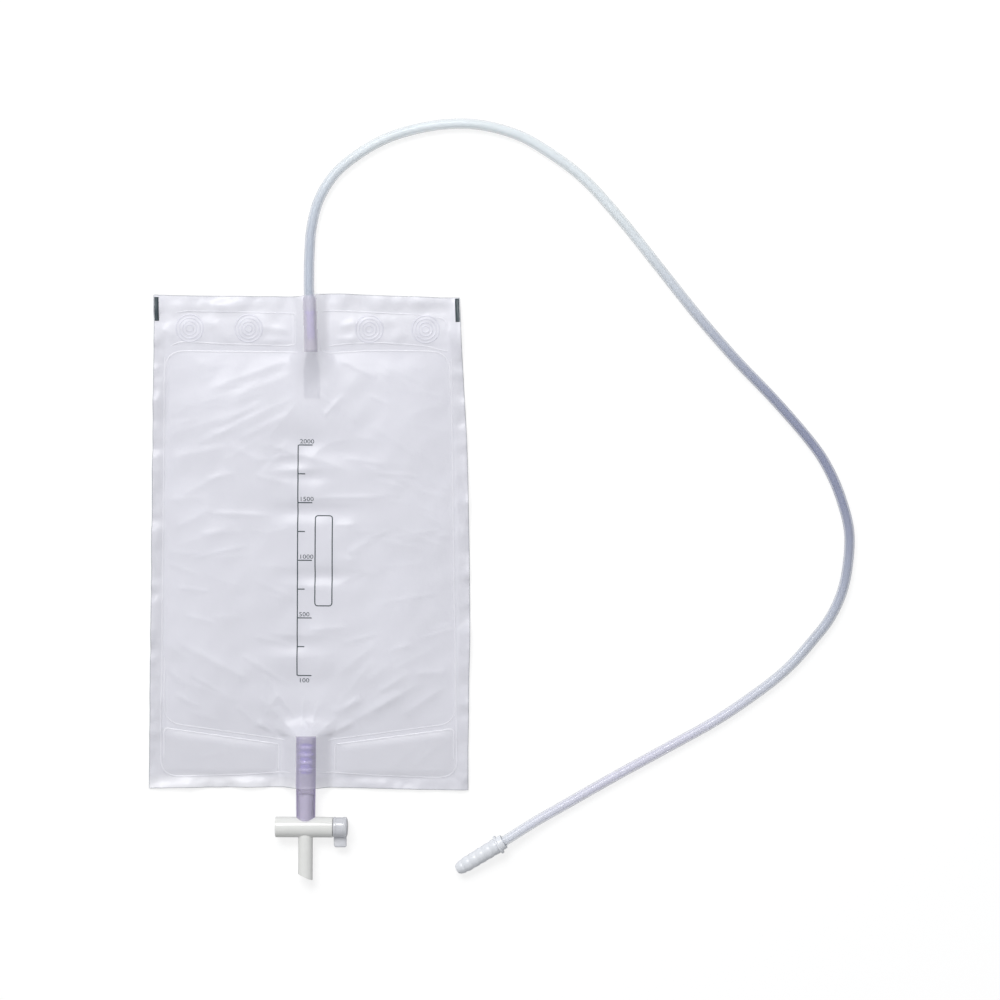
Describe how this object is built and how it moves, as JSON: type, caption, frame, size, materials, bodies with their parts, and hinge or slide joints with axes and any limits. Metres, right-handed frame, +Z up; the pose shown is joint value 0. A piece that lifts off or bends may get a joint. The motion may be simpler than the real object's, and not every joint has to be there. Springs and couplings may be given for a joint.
{
  "type": "urine drainage bag",
  "caption": "Flat translucent drainage bag with embossed hanging rings, a volume scale, a push and pull tap at its foot and a long inlet tube that ends in a ribbed catheter connector.",
  "frame": {"origin": "on the surface the bag lies on, under the middle of the box of bag and tap without the tube and its connector", "axes": "+Z up out of the back film, +Y to the bag's hanging end, +X to the head of the tap's plunger"},
  "size_m": [0.4509, 0.4862, 0.0138],
  "materials": {
    "clear_film": "translucent soft vinyl film, satin",
    "lavender_sleeve": "tinted translucent soft vinyl",
    "purple_insert": "tinted moulded plastic",
    "clear_tube": "clear soft vinyl tube",
    "white_plastic": "moulded white plastic, satin",
    "natural_plastic": "natural milky plastic, glossy",
    "seal_rubber": "black moulded rubber"
  },
  "bodies": {
    "bag": {"back_film": "clear_film", "front_film": "clear_film", "flutter_valve": "clear_film", "inlet_sleeve": "lavender_sleeve", "outlet_sleeve": "lavender_sleeve", "valve_insert": "purple_insert", "outlet_insert": "purple_insert", "tap_body": "white_plastic", "inlet_tube": "clear_tube", "catheter_connector": "white_plastic"},
    "plunger": {"tap_plunger": "natural_plastic", "plunger_seal_inner": "seal_rubber", "plunger_seal_middle": "seal_rubber", "plunger_seal_outer": "seal_rubber"}
  },
  "joints": [
    {"name": "tap_slide", "type": "slide", "parent": "bag", "child": "plunger", "axis": [1, 0, 0], "range_m": [0, 0.01]}
  ]
}
